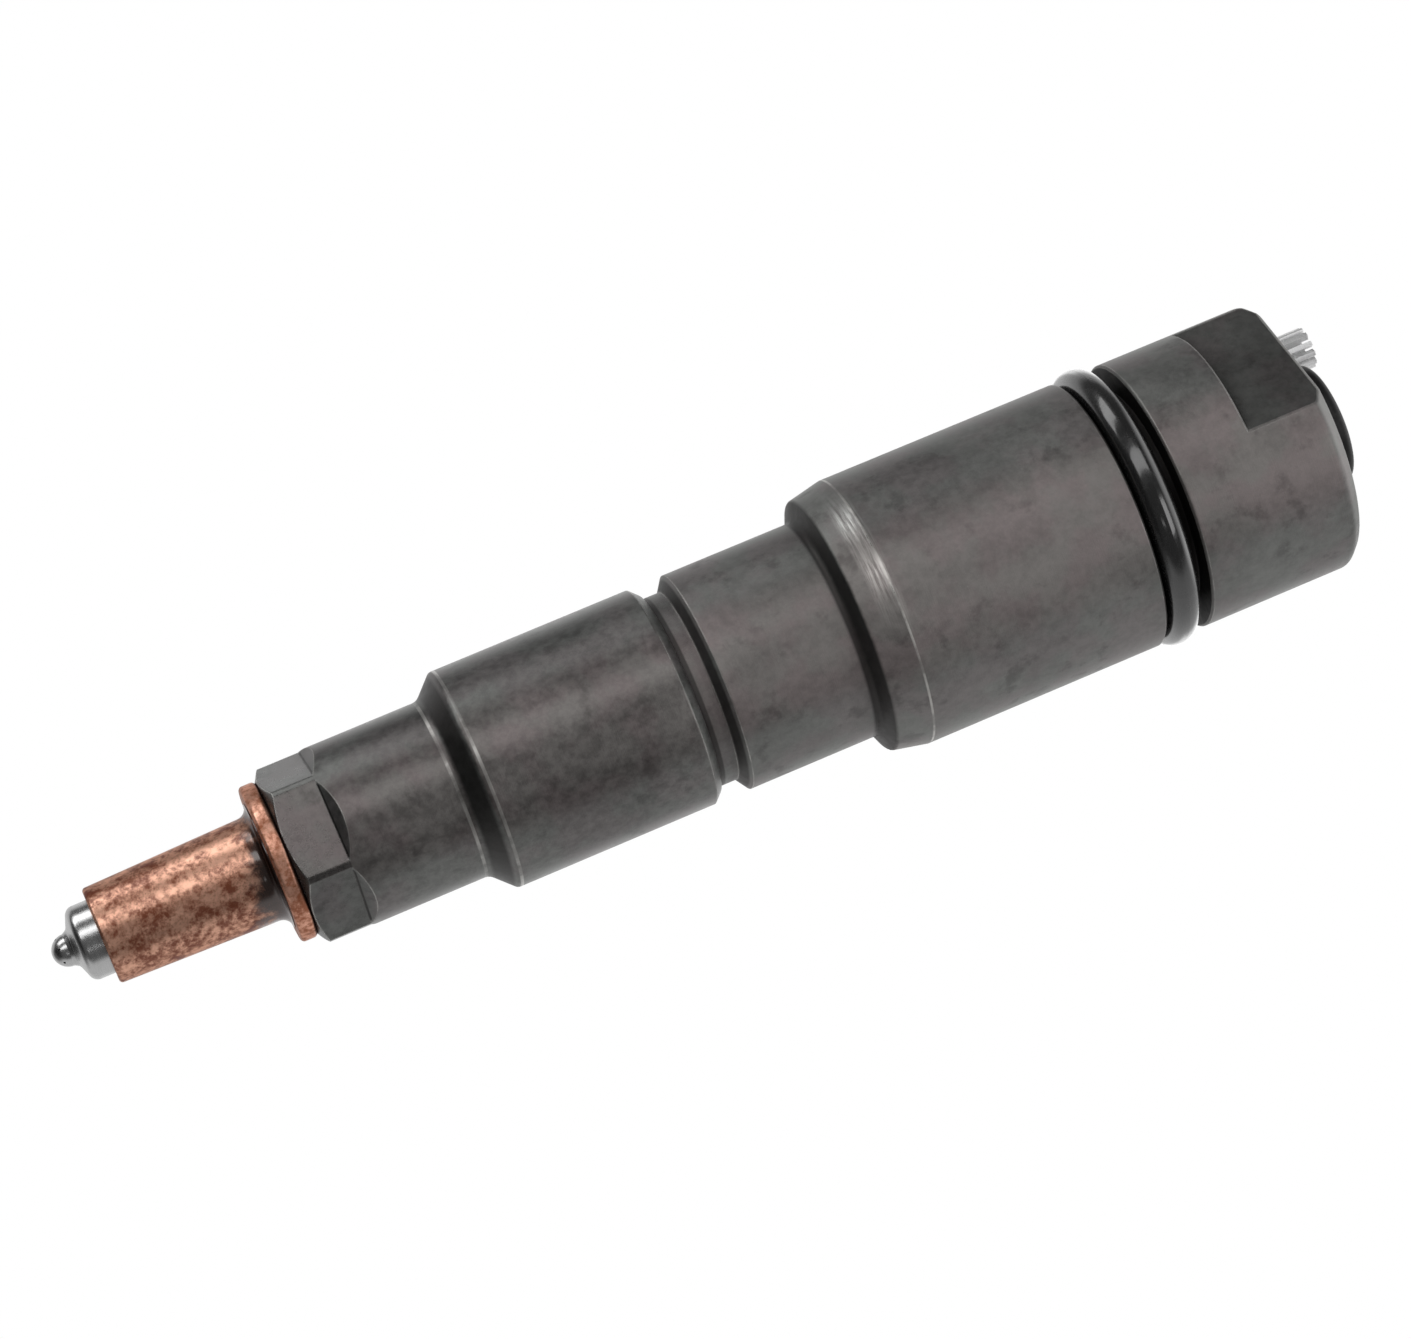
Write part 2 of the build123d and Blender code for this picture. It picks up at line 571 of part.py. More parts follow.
with BuildPart() as holder_body:
    with BuildSketch(Plane.XZ) as body_outline:
        with BuildLine():
            Polyline(
                (0, Z_BODY_FRONT),
                (SPIGOT_R, Z_BODY_FRONT),
                (SPIGOT_R, Z_SPIGOT_STEP),
                (BODY_THREAD_R, Z_SPIGOT_STEP + BODY_THREAD_R - SPIGOT_R),
                (BODY_THREAD_R, Z_THREAD_END),
                (NECK_R, Z_THREAD_END + NECK_R - BODY_THREAD_R),
                (NECK_R, Z_NECK_END - NECK_FLANK_RISE),
                (LOWER_BODY_R, Z_NECK_END),
                (LOWER_BODY_R, Z_SHOULDER_START),
                (SHOULDER_CORNER_R, Z_SHOULDER_CORNER),
                (HEAD_R, Z_LEAD_IN_END),
                (HEAD_R, Z_GROOVE_START),
                (GROOVE_FLOOR_R, Z_GROOVE_START),
                (GROOVE_FLOOR_R, Z_GROOVE_END),
                (HEAD_R, Z_GROOVE_END),
                (HEAD_R, Z_HEAD_END),
                (0, Z_HEAD_END),
                close=True,
            )
        make_face()
        corners = body_outline.vertices()
        fillet(corners.sort_by_distance((LOWER_BODY_R, Z_SHOULDER_START))[0], SHOULDER_ROOT_FILLET)
        corners = body_outline.vertices()
        fillet(
            corners.sort_by_distance((SHOULDER_CORNER_R, Z_SHOULDER_CORNER))[0],
            SHOULDER_CORNER_FILLET,
        )
        corners = body_outline.vertices()
        chamfer(corners.sort_by_distance((HEAD_R, Z_HEAD_END))[0], HEAD_RIM_CHAMFER)
        corners = body_outline.vertices()
        fillet(corners.sort_by_distance((HEAD_R, Z_HEAD_END))[:2], HEAD_RIM_FILLET)
        corners = body_outline.vertices()
        groove_edges = [
            corners.sort_by_distance((HEAD_R, Z_GROOVE_START))[0],
            corners.sort_by_distance((HEAD_R, Z_GROOVE_END))[0],
        ]
        chamfer(groove_edges, GROOVE_EDGE_CHAMFER)
    revolve(axis=Axis.Z)

    # Clamp flats, open to the end of the head
    with BuildSketch(Plane.XY.offset(Z_CLAMP_SHOULDER)):
        Circle(FLAT_CUT_R)
        Rectangle(2 * FLAT_CUT_R, 2 * CLAMP_FLAT_OFFSET, mode=Mode.SUBTRACT)
    extrude(amount=Z_HEAD_END - Z_CLAMP_SHOULDER, mode=Mode.SUBTRACT)
    shoulder_edges = holder_body.edges().filter_by(GeomType.CIRCLE)
    shoulder_edges = shoulder_edges.filter_by_position(Axis.Z, Z_CLAMP_SHOULDER, Z_CLAMP_SHOULDER)
    flat_edges = holder_body.edges().filter_by(GeomType.LINE).filter_by(Axis.Z)
    flat_edges = flat_edges.filter_by(lambda edge: edge.center().Z > Z_CLAMP_SHOULDER)
    flat_edges = flat_edges.filter_by(lambda edge: abs(edge.center().Y) > CLAMP_FLAT_OFFSET / 2)
    chamfer(shoulder_edges + flat_edges, FLAT_EDGE_CHAMFER)

    # Bevel where each flat meets the end face
    with BuildSketch(Plane.YZ):
        with BuildLine():
            Polyline(
                (CLAMP_FLAT_OFFSET - FLAT_END_BEVEL, Z_HEAD_END),
                (FLAT_CUT_R, Z_HEAD_END),
                (FLAT_CUT_R, Z_HEAD_END + CLAMP_FLAT_OFFSET - FLAT_END_BEVEL - FLAT_CUT_R),
                close=True,
            )
        make_face()
        mirror(about=Plane.YZ)
    extrude(amount=FLAT_CUT_R, both=True, mode=Mode.SUBTRACT)

    # Spring chamber, leak drilling and the plug bore with its drill point
    with BuildSketch(Plane.XZ):
        with BuildLine():
            Polyline(
                (0, Z_BODY_FRONT),
                (CHAMBER_R, Z_BODY_FRONT),
                (CHAMBER_R, Z_CHAMBER_END),
                (LEAK_DRILLING_R, Z_CHAMBER_END),
                (LEAK_DRILLING_R, Z_PLUG_BORE_END - (PLUG_BORE_R - LEAK_DRILLING_R) * drill_point_rise),
                (PLUG_BORE_R, Z_PLUG_BORE_END),
                (PLUG_BORE_R, Z_HEAD_END),
                (0, Z_HEAD_END),
                close=True,
            )
        make_face()
    revolve(axis=Axis.Z, mode=Mode.SUBTRACT)

    # High-pressure duct up to the inlet
    with BuildSketch(Plane.XY.offset(Z_BODY_FRONT)):
        with Locations((-DUCT_OFFSET, 0)):
            Circle(DUCT_R)
    extrude(amount=Z_INLET - Z_BODY_FRONT, mode=Mode.SUBTRACT)

    # Fuel inlet: conical seat for the pressure pipe, then a short bore to the duct
    inlet_plane = Plane(origin=(0, 0, Z_INLET), x_dir=(-1, 0, 0), z_dir=(0, 1, 0))
    inlet_cone_depth = (INLET_MOUTH_R - INLET_BORE_R) / tan(radians(INLET_HALF_ANGLE))
    with BuildSketch(inlet_plane):
        with BuildLine():
            Polyline(
                (INLET_BORE_END, 0),
                (INLET_BORE_END, INLET_BORE_R),
                (HEAD_R - inlet_cone_depth, INLET_BORE_R),
                (HEAD_R, INLET_MOUTH_R),
                (HEAD_R, 0),
                close=True,
            )
        make_face()
    revolve(axis=Axis((0, 0, Z_INLET), (-1, 0, 0)), mode=Mode.SUBTRACT)

    # Leak-off exit, through to the central drilling
    with BuildSketch(Plane(origin=(0, 0, Z_LEAK_EXIT), z_dir=(0, 1, 0))):
        Circle(LEAK_DRILLING_R)
    extrude(amount=HEAD_R, mode=Mode.SUBTRACT)

    # Dowel holes in the front face
    with BuildSketch(Plane.XY.offset(Z_BODY_FRONT)):
        for angle in BODY_DOWEL_ANGLES:
            with PolarLocations(DOWEL_OFFSET, 1, start_angle=angle):
                Circle(DOWEL_R + LOCATING_GAP)
    extrude(amount=DOWEL_DEPTH, mode=Mode.SUBTRACT)

    # Hole for the locating pin in the end face
    with BuildSketch(Plane.XY.offset(Z_HEAD_END)):
        with PolarLocations(PIN_OFFSET, 1, start_angle=PIN_ANGLE):
            Circle(PIN_R + LOCATING_GAP)
    extrude(amount=-PIN_HOLE_DEPTH, mode=Mode.SUBTRACT)

    # Thread shown as rings cut into the spigot
    with BuildSketch(Plane.XZ):
        with Locations((BODY_THREAD_R, z_thread_middle)):
            with GridLocations(0, THREAD_PITCH, 1, THREAD_TURNS):
                Rectangle(
                    2 * THREAD_GROOVE_DEPTH,
                    2 * THREAD_GROOVE_DEPTH,
                    rotation=45,
                )
    revolve(axis=Axis.Z, mode=Mode.SUBTRACT)

# ------------------------------------------------------------------ O-ring on the head

with BuildPart() as body_o_ring:
    with BuildSketch(Plane.XZ):
        with Locations((O_RING_CENTRE_R, Z_O_RING)):
            Circle(O_RING_SECTION_R)
    revolve(axis=Axis.Z)

# ------------------------------------------------------------------ top plug and its ring

with BuildPart() as top_plug:
    z_boss_top = Z_HEAD_END + PLUG_BOSS_HEIGHT
    with BuildSketch(Plane.XZ) as plug_outline:
        with BuildLine():
            Polyline(
                (0, Z_PLUG_FOOT),
                (PLUG_SHANK_R, Z_PLUG_FOOT),
                (PLUG_SHANK_R, Z_HEAD_END),
                (PLUG_BOSS_R, Z_HEAD_END),
                (PLUG_BOSS_R, z_boss_top),
                (PULLER_BORE_R + PULLER_COUNTERSINK, z_boss_top),
                (PULLER_BORE_R, z_boss_top - PULLER_COUNTERSINK),
                (PULLER_BORE_R, z_boss_top - PULLER_BORE_DEPTH),
                (0, z_boss_top - PULLER_BORE_DEPTH - PULLER_BORE_R * drill_point_rise),
                close=True,
            )
        make_face()
        corners = plug_outline.vertices()
        fillet(corners.sort_by_distance((PLUG_BOSS_R, z_boss_top))[0], PLUG_BOSS_FILLET)
        corners = plug_outline.vertices()
        chamfer(corners.sort_by_distance((PLUG_SHANK_R, Z_PLUG_FOOT))[0], COLLAR_CHAMFER)
    revolve(axis=Axis.Z)

    with BuildSketch(Plane.XY.offset(Z_PLUG_GROOVE - PLUG_GROOVE_WIDTH / 2)):
        Circle(PLUG_SHANK_R)
        Circle(PLUG_GROOVE_FLOOR_R, mode=Mode.SUBTRACT)
    extrude(amount=PLUG_GROOVE_WIDTH, mode=Mode.SUBTRACT)

with BuildPart() as plug_o_ring:
    with BuildSketch(Plane.XZ):
        with Locations((PLUG_RING_CENTRE_R, Z_PLUG_GROOVE)):
            Circle(PLUG_RING_SECTION_R)
    revolve(axis=Axis.Z)

# ------------------------------------------------------------------ locating pin

with BuildPart() as locating_pin:
    pin_top = Z_HEAD_END + PIN_STAND_OUT
    with BuildSketch(Plane.XY.offset(Z_HEAD_END - PIN_HOLE_DEPTH)):
        with PolarLocations(PIN_OFFSET, 1, start_angle=PIN_ANGLE):
            Circle(PIN_R)
    extrude(amount=PIN_HOLE_DEPTH + PIN_STAND_OUT)
    chamfer(locating_pin.faces().sort_by(Axis.Z)[0].edges(), DOWEL_END_CHAMFER)

    # Flutes around the standing end, and a recess that opens them at the tip
    with BuildSketch(Plane.XY.offset(pin_top)):
        with PolarLocations(PIN_OFFSET, 1, start_angle=PIN_ANGLE):
            with PolarLocations(PIN_R, PIN_FLUTE_COUNT, start_angle=PIN_FLUTE_ANGLE):
                Polygon(
                    (-PIN_FLUTE_DEPTH, 0),
                    (PIN_FLUTE_OVERRUN, PIN_FLUTE_HALF_WIDTH),
                    (PIN_FLUTE_OVERRUN, -PIN_FLUTE_HALF_WIDTH),
                    align=None,
                )
    extrude(amount=-PIN_FLUTE_LENGTH, mode=Mode.SUBTRACT)
    with BuildSketch(Plane.XY.offset(pin_top)):
        with PolarLocations(PIN_OFFSET, 1, start_angle=PIN_ANGLE):
            Circle(PIN_END_RECESS_R)
    extrude(amount=-PIN_END_RECESS_DEPTH, mode=Mode.SUBTRACT)

# ------------------------------------------------------------------ export

named_parts = {
    "nozzle_body": nozzle_body,
    "nozzle_needle": nozzle_needle,
    "intermediate_plate": intermediate_plate,
    "nozzle_dowel_pins": nozzle_dowel_pins,
    "body_dowel_pins": body_dowel_pins,
    "pressure_pin": pressure_pin,
    "spring_seat": spring_seat,
    "pressure_spring": pressure_spring,
    "spring_backing_disc": spring_backing_disc,
    "spring_shim": spring_shim,
    "trim_shim": trim_shim,
    "seal_washer": seal_washer,
    "heat_shield_sleeve": heat_shield_sleeve,
    "retaining_nut": retaining_nut,
    "holder_body": holder_body,
    "body_o_ring": body_o_ring,
    "top_plug": top_plug,
    "plug_o_ring": plug_o_ring,
    "locating_pin": locating_pin,
}
for part_name, builder in named_parts.items():
    builder.part.label = part_name
    export_step(builder.part, f"parts/{part_name}.step")
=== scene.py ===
import json
import math

import bpy
from mathutils import Matrix, Vector


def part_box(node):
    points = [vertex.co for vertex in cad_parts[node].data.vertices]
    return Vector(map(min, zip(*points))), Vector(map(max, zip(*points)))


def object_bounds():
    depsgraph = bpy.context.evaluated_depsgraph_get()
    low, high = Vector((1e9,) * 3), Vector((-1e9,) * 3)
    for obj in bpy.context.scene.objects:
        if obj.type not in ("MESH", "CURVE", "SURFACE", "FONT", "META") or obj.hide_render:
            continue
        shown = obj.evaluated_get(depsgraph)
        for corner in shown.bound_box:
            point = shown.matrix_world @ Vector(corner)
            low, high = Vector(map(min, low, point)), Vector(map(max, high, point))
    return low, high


# Looks of a slim diesel injector: a finish for each CAD node, a floor, light and a camera.
# Lengths are in metres, in the CAD's own frame.

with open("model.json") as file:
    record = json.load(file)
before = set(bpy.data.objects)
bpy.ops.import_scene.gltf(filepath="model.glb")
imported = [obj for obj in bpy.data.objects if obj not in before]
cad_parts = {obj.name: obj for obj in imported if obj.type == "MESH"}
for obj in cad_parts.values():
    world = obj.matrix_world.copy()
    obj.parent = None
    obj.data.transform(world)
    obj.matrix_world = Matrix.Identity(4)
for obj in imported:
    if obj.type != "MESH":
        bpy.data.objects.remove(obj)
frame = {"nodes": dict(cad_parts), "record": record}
cad_low, cad_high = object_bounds()

# ---------------------------------------------------------------- view directions

# The camera looks at the injector across its axis, from a little towards the nozzle end.
AXIS = Vector((0, 0, 1))
CAMERA_AZIMUTH = 45.0          # degrees from -Y, towards +X
CAMERA_TILT = 8.3              # degrees the camera sits towards the nozzle end
CAMERA_DISTANCE = 0.4095
CAMERA_ROLL = 22.73            # degrees the axis climbs across the image
CAMERA_LENS = 115.0
CAMERA_SENSOR = 36.0
CAMERA_NEAR = 0.01
AIM_HEIGHT = 0.0432
AIM_SIDE = 0.0011

azimuth = math.radians(CAMERA_AZIMUTH)
TOWARDS = Vector((math.sin(azimuth), -math.cos(azimuth), 0))   # from the axis to the camera
SIDE = TOWARDS.cross(AXIS)                                     # image "above" the axis

# ---------------------------------------------------------------- places on the part

# Heights up the axis and radii from it, from the frame where it gives them.
nut_low, nut_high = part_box("retaining_nut")
holder_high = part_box("holder_body")[1]
mounts = {mount["name"]: mount for mount in frame["record"]["mounts"]}

NUT_FRONT = nut_low.z
HEX_TOP = NUT_FRONT + 0.0047
CONE_FOOT = NUT_FRONT + 0.0162
CONE_TOP = CONE_FOOT + 0.0020
NUT_REAR = nut_high.z
NECK_END = NUT_REAR + 0.0028
SHOULDER = NUT_REAR + 0.0154
LEAD_IN_TOP = NUT_REAR + 0.0195
GROOVE_START = NUT_REAR + 0.0430
GROOVE_END = NUT_REAR + 0.0475
CLAMP_SHOULDER = mounts["clamp_shoulder_a"]["pos_m"][2]
HEAD_END = holder_high.z
HEAD_RADIUS = mounts["head_bore"]["dims"]["r_mm"] / 1000
BODY_RADIUS = nut_high.x       # the nut's rear end and the lower body are the same size
NECK_RADIUS = 0.0092
NUT_FRONT_RADIUS = 0.0085

CLAMP_FLATS = (CLAMP_SHOULDER, HEAD_END)
NUT_HEX = (NUT_FRONT, HEX_TOP)
LEAD_IN_BAND = (LEAD_IN_TOP - 0.0013, LEAD_IN_TOP)      # rubbed when it is pushed home; its streaks get a painted highlight on the lit side


def ring_zone(low, high, inner, outer, soft, share):
    """A ring-shaped zone: two heights, two radii, the fade at its border and its strength."""
    return {"low": low, "high": high, "inner": inner, "outer": outer, "soft": soft, "share": share}


# Corners, grooves and faces turned from the light, darkened with painted shade
RING_GROOVE = ring_zone(GROOVE_START, GROOVE_END, 0, HEAD_RADIUS - 0.0003,
                        soft=0.0001, share=1.0)
SHOULDER_FACE = ring_zone(SHOULDER - 0.0004, SHOULDER + 0.0007,
                          BODY_RADIUS - 0.0001, BODY_RADIUS + 0.0016, soft=0.0004, share=0.85)
NECK_FRONT = ring_zone(NUT_REAR, NUT_REAR + 0.0005, 0, NECK_RADIUS + 0.0008,
                       soft=0.0002, share=0.75)
NECK_REAR = ring_zone(NECK_END - 0.0014, NECK_END - 0.0003,
                      NECK_RADIUS + 0.0002, NECK_RADIUS + 0.0008, soft=0.0003, share=0.75)
NUT_CONE = ring_zone(CONE_FOOT + 0.0002, CONE_TOP - 0.0002,
                     NUT_FRONT_RADIUS + 0.0004, BODY_RADIUS - 0.0005, soft=0.0004, share=0.78)
HEX_END = ring_zone(HEX_TOP, HEX_TOP + 0.0001, 0, NUT_FRONT_RADIUS - 0.0002,
                    soft=0.0001, share=0.85)

# Rims lightened with painted highlight lines, where the lamps shine in the fillets
CONE_ROOT_RIM = ring_zone(CONE_FOOT - 0.00045, CONE_FOOT - 0.00025,
                          NUT_FRONT_RADIUS - 0.0005, NUT_FRONT_RADIUS + 0.0005,
                          soft=0.0001, share=0.6)
CONE_EDGE_RIM = ring_zone(CONE_TOP + 0.0002, CONE_TOP + 0.0004,
                          BODY_RADIUS - 0.0005, BODY_RADIUS + 0.0005, soft=0.0001, share=0.5)
LEAD_IN_RIM = ring_zone(LEAD_IN_TOP, LEAD_IN_TOP + 0.0001,
                        HEAD_RADIUS - 0.0005, HEAD_RADIUS + 0.0005, soft=0.0001, share=0.8)

# ---------------------------------------------------------------- node helpers


class Graph:
    """A short way to write one node tree."""

    def __init__(self, tree):
        self.tree = tree
        self.nodes = tree.nodes
        self.nodes.clear()

    def add(self, kind, **settings):
        node = self.nodes.new(kind)
        for name, value in settings.items():
            setattr(node, name, value)
        return node

    def feed(self, socket, value):
        """Link a socket, or set it to a plain value."""
        if isinstance(value, bpy.types.NodeSocket):
            self.tree.links.new(value, socket)
        else:
            socket.default_value = value

    def compute(self, operation, a, b=0.0):
        node = self.add("ShaderNodeMath", operation=operation)
        self.feed(node.inputs[0], a)
        self.feed(node.inputs[1], b)
        return node.outputs[0]

    def plus(self, a, b):
        return self.compute("ADD", a, b)

    def minus(self, a, b):
        return self.compute("SUBTRACT", a, b)

    def times(self, a, b):
        return self.compute("MULTIPLY", a, b)

    def larger(self, a, b):
        return self.compute("MAXIMUM", a, b)

    def mix(self, share, a, b, blend="MIX"):
        """Mix two colours."""
        node = self.add("ShaderNodeMix", data_type="RGBA", blend_type=blend)
        self.feed(node.inputs[0], share)
        self.feed(node.inputs[6], a)
        self.feed(node.inputs[7], b)
        return node.outputs[2]

    def scale(self, colour, factor):
        """A colour made lighter or darker by a factor."""
        node = self.add("ShaderNodeVectorMath", operation="SCALE")
        self.feed(node.inputs[0], colour)
        self.feed(node.inputs["Scale"], factor)
        return node.outputs[0]

    def ramp(self, value, low, high, out_low=0.0, out_high=1.0):
        """Map low..high to out_low..out_high, eased and clamped."""
        node = self.add("ShaderNodeMapRange", interpolation_type="SMOOTHSTEP")
        self.feed(node.inputs["Value"], value)
        self.feed(node.inputs["From Min"], low)
        self.feed(node.inputs["From Max"], high)
        self.feed(node.inputs["To Min"], out_low)
        self.feed(node.inputs["To Max"], out_high)
        return node.outputs[0]

    def noise(self, place, scale, detail=4.0, roughness=0.55, distortion=0.0):
        """Cloudy noise from about 0 to 1; scale is in waves per metre, before any stretch."""
        node = self.add("ShaderNodeTexNoise")
        self.feed(node.inputs["Vector"], place)
        self.feed(node.inputs["Scale"], scale)
        self.feed(node.inputs["Detail"], detail)
        self.feed(node.inputs["Roughness"], roughness)
        self.feed(node.inputs["Distortion"], distortion)
        return node.outputs[0]

    def here(self):
        """Object coordinates, which are the frame's own, in metres."""
        return self.add("ShaderNodeTexCoord").outputs["Object"]

    def place(self, stretch=(1, 1, 1), shift=(0, 0, 0)):
        """Object coordinates stretched and shifted, to read a noise at."""
        mapping = self.add("ShaderNodeMapping")
        self.feed(mapping.inputs["Vector"], self.here())
        mapping.inputs["Scale"].default_value = stretch
        mapping.inputs["Location"].default_value = shift
        return mapping.outputs[0]

    def dot(self, value, direction):
        node = self.add("ShaderNodeVectorMath", operation="DOT_PRODUCT")
        self.feed(node.inputs[0], value)
        self.feed(node.inputs[1], tuple(direction))
        return node.outputs["Value"]

    def height(self):
        """Height along the injector's axis."""
        return self.dot(self.here(), AXIS)

    def sideways(self):
        """Distance from the axis towards the side that is uppermost in the main view."""
        return self.dot(self.here(), SIDE)

    def radius(self):
        """Distance from the injector's axis."""
        flat = self.add("ShaderNodeVectorMath", operation="MULTIPLY")
        self.feed(flat.inputs[0], self.here())
        self.feed(flat.inputs[1], (1, 1, 0))
        length = self.add("ShaderNodeVectorMath", operation="LENGTH")
        self.feed(length.inputs[0], flat.outputs[0])
        return length.outputs["Value"]

    def band(self, value, low, high, soft):
        """1 between low and high, fading out over the distance soft."""
        rise = self.ramp(value, low - soft, low)
        fall = self.ramp(value, high, high + soft, 1.0, 0.0)
        return self.times(rise, fall)

    def zone(self, low, high, inner, outer, soft, share):
        """The given share inside a ring-shaped zone, 0 elsewhere."""
        across = self.band(self.radius(), inner, outer, soft)
        inside = self.times(self.band(self.height(), low, high, soft), across)
        return self.times(inside, share)

    def crevices(self, distance):
        """1 in tight corners and grooves, 0 on open faces, from ambient occlusion; used for painted
        shade.
        """
        node = self.add("ShaderNodeAmbientOcclusion", samples=6)
        self.feed(node.inputs["Distance"], distance)
        return self.ramp(node.outputs["AO"], 0.92, 0.50)

    def rounded_normal(self, radius, samples):
        """The surface normal as if sharp edges were rounded to a radius."""
        bevel = self.add("ShaderNodeBevel", samples=samples)
        bevel.inputs["Radius"].default_value = radius
        return bevel.outputs[0]

    def edges(self, radius):
        """1 along sharp edges, 0 on open faces."""
        geometry = self.add("ShaderNodeNewGeometry")
        dot = self.add("ShaderNodeVectorMath", operation="DOT_PRODUCT")
        self.feed(dot.inputs[0], self.rounded_normal(radius, samples=6))
        self.feed(dot.inputs[1], geometry.outputs["Normal"])
        return self.ramp(dot.outputs["Value"], 0.995, 0.90)


def new_material(name):
    material = bpy.data.materials.new(name)
    material.use_nodes = True
    graph = Graph(material.node_tree)
    shader = graph.add("ShaderNodeBsdfPrincipled")
    output = graph.add("ShaderNodeOutputMaterial")
    graph.feed(output.inputs["Surface"], shader.outputs[0])
    return material, graph, shader


def bump(graph, shader, height, distance, strength=1.0, rounding=0.0):
    """Relief from a height; rounding softens sharp edges over that radius."""
    node = graph.add("ShaderNodeBump")
    graph.feed(node.inputs["Height"], height)
    if rounding:
        graph.feed(node.inputs["Normal"], graph.rounded_normal(rounding, samples=8))
    graph.feed(node.inputs["Distance"], distance)
    graph.feed(node.inputs["Strength"], strength)
    graph.feed(shader.inputs["Normal"], node.outputs[0])


def grey(level, warm=0.0):
    """A grey, a little warm or cool."""
    return (level * (1 + warm), level, level * (1 - warm), 1)


def shade(tint, level):
    """A tint at a brightness."""
    return (tint[0] * level, tint[1] * level, tint[2] * level, 1)


# ---------------------------------------------------------------- phosphated steel

COOL_TINT = (1.02, 1.0, 0.955)
WARM_TINT = (1.08, 0.985, 0.965)
HEAD_ON_TINT = (1.02, 0.982, 0.987, 1)     # warmer where the surface is seen square on
GRAZING_TINT = (0.98, 1.015, 1.02, 1)
# Light colour for worn edges and for painted highlight lines on edges and rims
WORN_AND_HIGHLIGHT_METAL = shade(COOL_TINT, 0.62)
# Near-black colour of the painted shade in corners, grooves and faces turned from the light
PAINTED_SHADE_COLOUR = shade(WARM_TINT, 0.022)
TURNING_STRETCH = (18, 18, 9000)           # fine rings from the lathe
STREAK_STRETCH = (240, 240, 3600)          # short streaks round the part
WEAR_RADIUS = 0.0002
# Reach of the ambient occlusion behind the painted shade
PAINTED_SHADE_REACH = 0.0025
EDGE_ROUNDING = 0.0003
# Painted shade on the clamp flats: their colour is scaled by this factor
FLAT_PAINTED_SHADE = 0.58
HEX_DARKENING = 0.76
HEX_SMOOTHING = 0.10


def phosphate_colour(graph, shift, level, contrast, patches, blotches, mottle, grain):
    """Clouds of cool and warm grey, with dark spots and light specks."""
    cloudy = graph.ramp(patches, 0.35, 0.65)
    cool = graph.mix(cloudy, shade(COOL_TINT, level * 0.90), shade(COOL_TINT, level * 1.12))
    warm = graph.mix(cloudy, shade(WARM_TINT, level * 0.86), shade(WARM_TINT, level * 1.08))
    tint = graph.noise(graph.place(shift=shift[::-1]), 210, detail=4)
    colour = graph.mix(graph.ramp(tint, 0.42, 0.60), cool, warm)
    colour = graph.scale(colour, graph.ramp(mottle, 0.30, 0.70, 1 - contrast, 1 + contrast))
    dark_spots = graph.ramp(blotches, 0.55, 0.70, 0.0, 0.45)
    colour = graph.mix(dark_spots, colour, shade(WARM_TINT, level * 0.33))
    light_specks = graph.ramp(grain, 0.60, 0.80, 0.0, 0.3)
    return graph.mix(light_specks, colour, shade(COOL_TINT, level * 1.7))


def rubbed_sheen_share(graph, shift, heights):
    """Streaks worn to metal between two heights, lightened only on the side uppermost and lit in
    the main view: wear with a painted highlight.
    """
    streaks = graph.noise(graph.place(STREAK_STRETCH, shift), 1.0, detail=4, roughness=0.7)
    streaky = graph.times(graph.ramp(streaks, 0.36, 0.62, 0.1, 1.0),
                          graph.band(graph.sideways(), 0.001, 0.008, soft=0.004))
    return graph.times(graph.band(graph.height(), heights[0], heights[1], soft=0.0008), streaky)


def shaded_flat_share(graph, heights):
    """1 on faces square to Y between two heights: the flat clamp faces, which are darkened as
    painted shade.
    """
    normal = graph.add("ShaderNodeTexCoord").outputs["Normal"]
    square = graph.compute("ABSOLUTE", graph.dot(normal, (0, 1, 0)))
    return graph.times(graph.band(graph.height(), heights[0], heights[1], soft=0.0001),
                       graph.ramp(square, 0.990, 0.997))


def facing_tint(graph, colour):
    """Tint a colour by the angle that it is seen at."""
    facing = graph.add("ShaderNodeLayerWeight").outputs["Facing"]
    film = graph.mix(graph.ramp(facing, 0.10, 0.25), HEAD_ON_TINT, GRAZING_TINT)
    return graph.mix(1.0, colour, film, blend="MULTIPLY")


